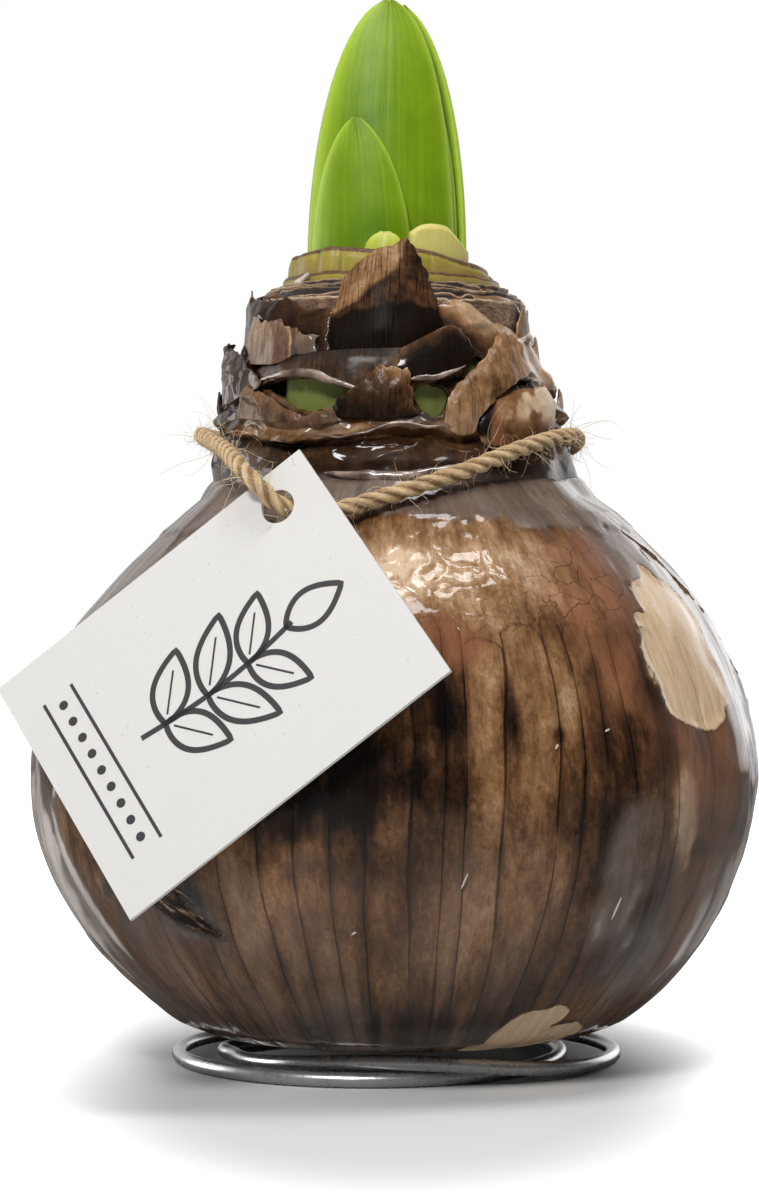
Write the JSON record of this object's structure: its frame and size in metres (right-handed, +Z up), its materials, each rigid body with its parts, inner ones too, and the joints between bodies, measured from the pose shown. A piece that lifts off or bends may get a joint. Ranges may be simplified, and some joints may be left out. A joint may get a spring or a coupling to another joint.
{
  "type": "waxed amaryllis bulb on a wire stand",
  "caption": "Round flower bulb in a glossy wax coat, with torn dry neck layers and young leaves, standing on a coil of steel wire, a blank-style card tag on a jute twine round its neck.",
  "frame": {"origin": "on the table under the bulb, at the centre of the box round the bulb, leaves and stand", "axes": "+Z up along the bulb's axis, -Y towards the side that shows the printed tag, +X to the right seen from there"},
  "size_m": [0.1094, 0.1138, 0.1579],
  "materials": {
    "waxed_tunic": "dry brown bulb skin under a clear coat of wax",
    "fleshy_scale": "pale olive green cut scales with a thin brown rim",
    "pale_scale": "cream green, smooth and slightly moist",
    "young_bud": "yellow green, smooth",
    "leaf": "fresh green, fine parallel veins, satin",
    "galvanised_wire": "zinc grey, worn",
    "tag_card": "uncoated off-white card with fine flecks and charcoal print",
    "jute": "golden tan twisted jute with loose fibres"
  },
  "bodies": {
    "root": {"bulb": "waxed_tunic", "fleshy_scales": "fleshy_scale", "scale_tip": "pale_scale", "bud_tip": "young_bud", "leaf_main": "leaf", "leaf_inner": "leaf", "leaf_back": "leaf", "leaf_small": "leaf", "wire_stand": "galvanised_wire", "tag": "tag_card", "twine": "jute", "twine_knot": "jute"}
  },
  "joints": []
}
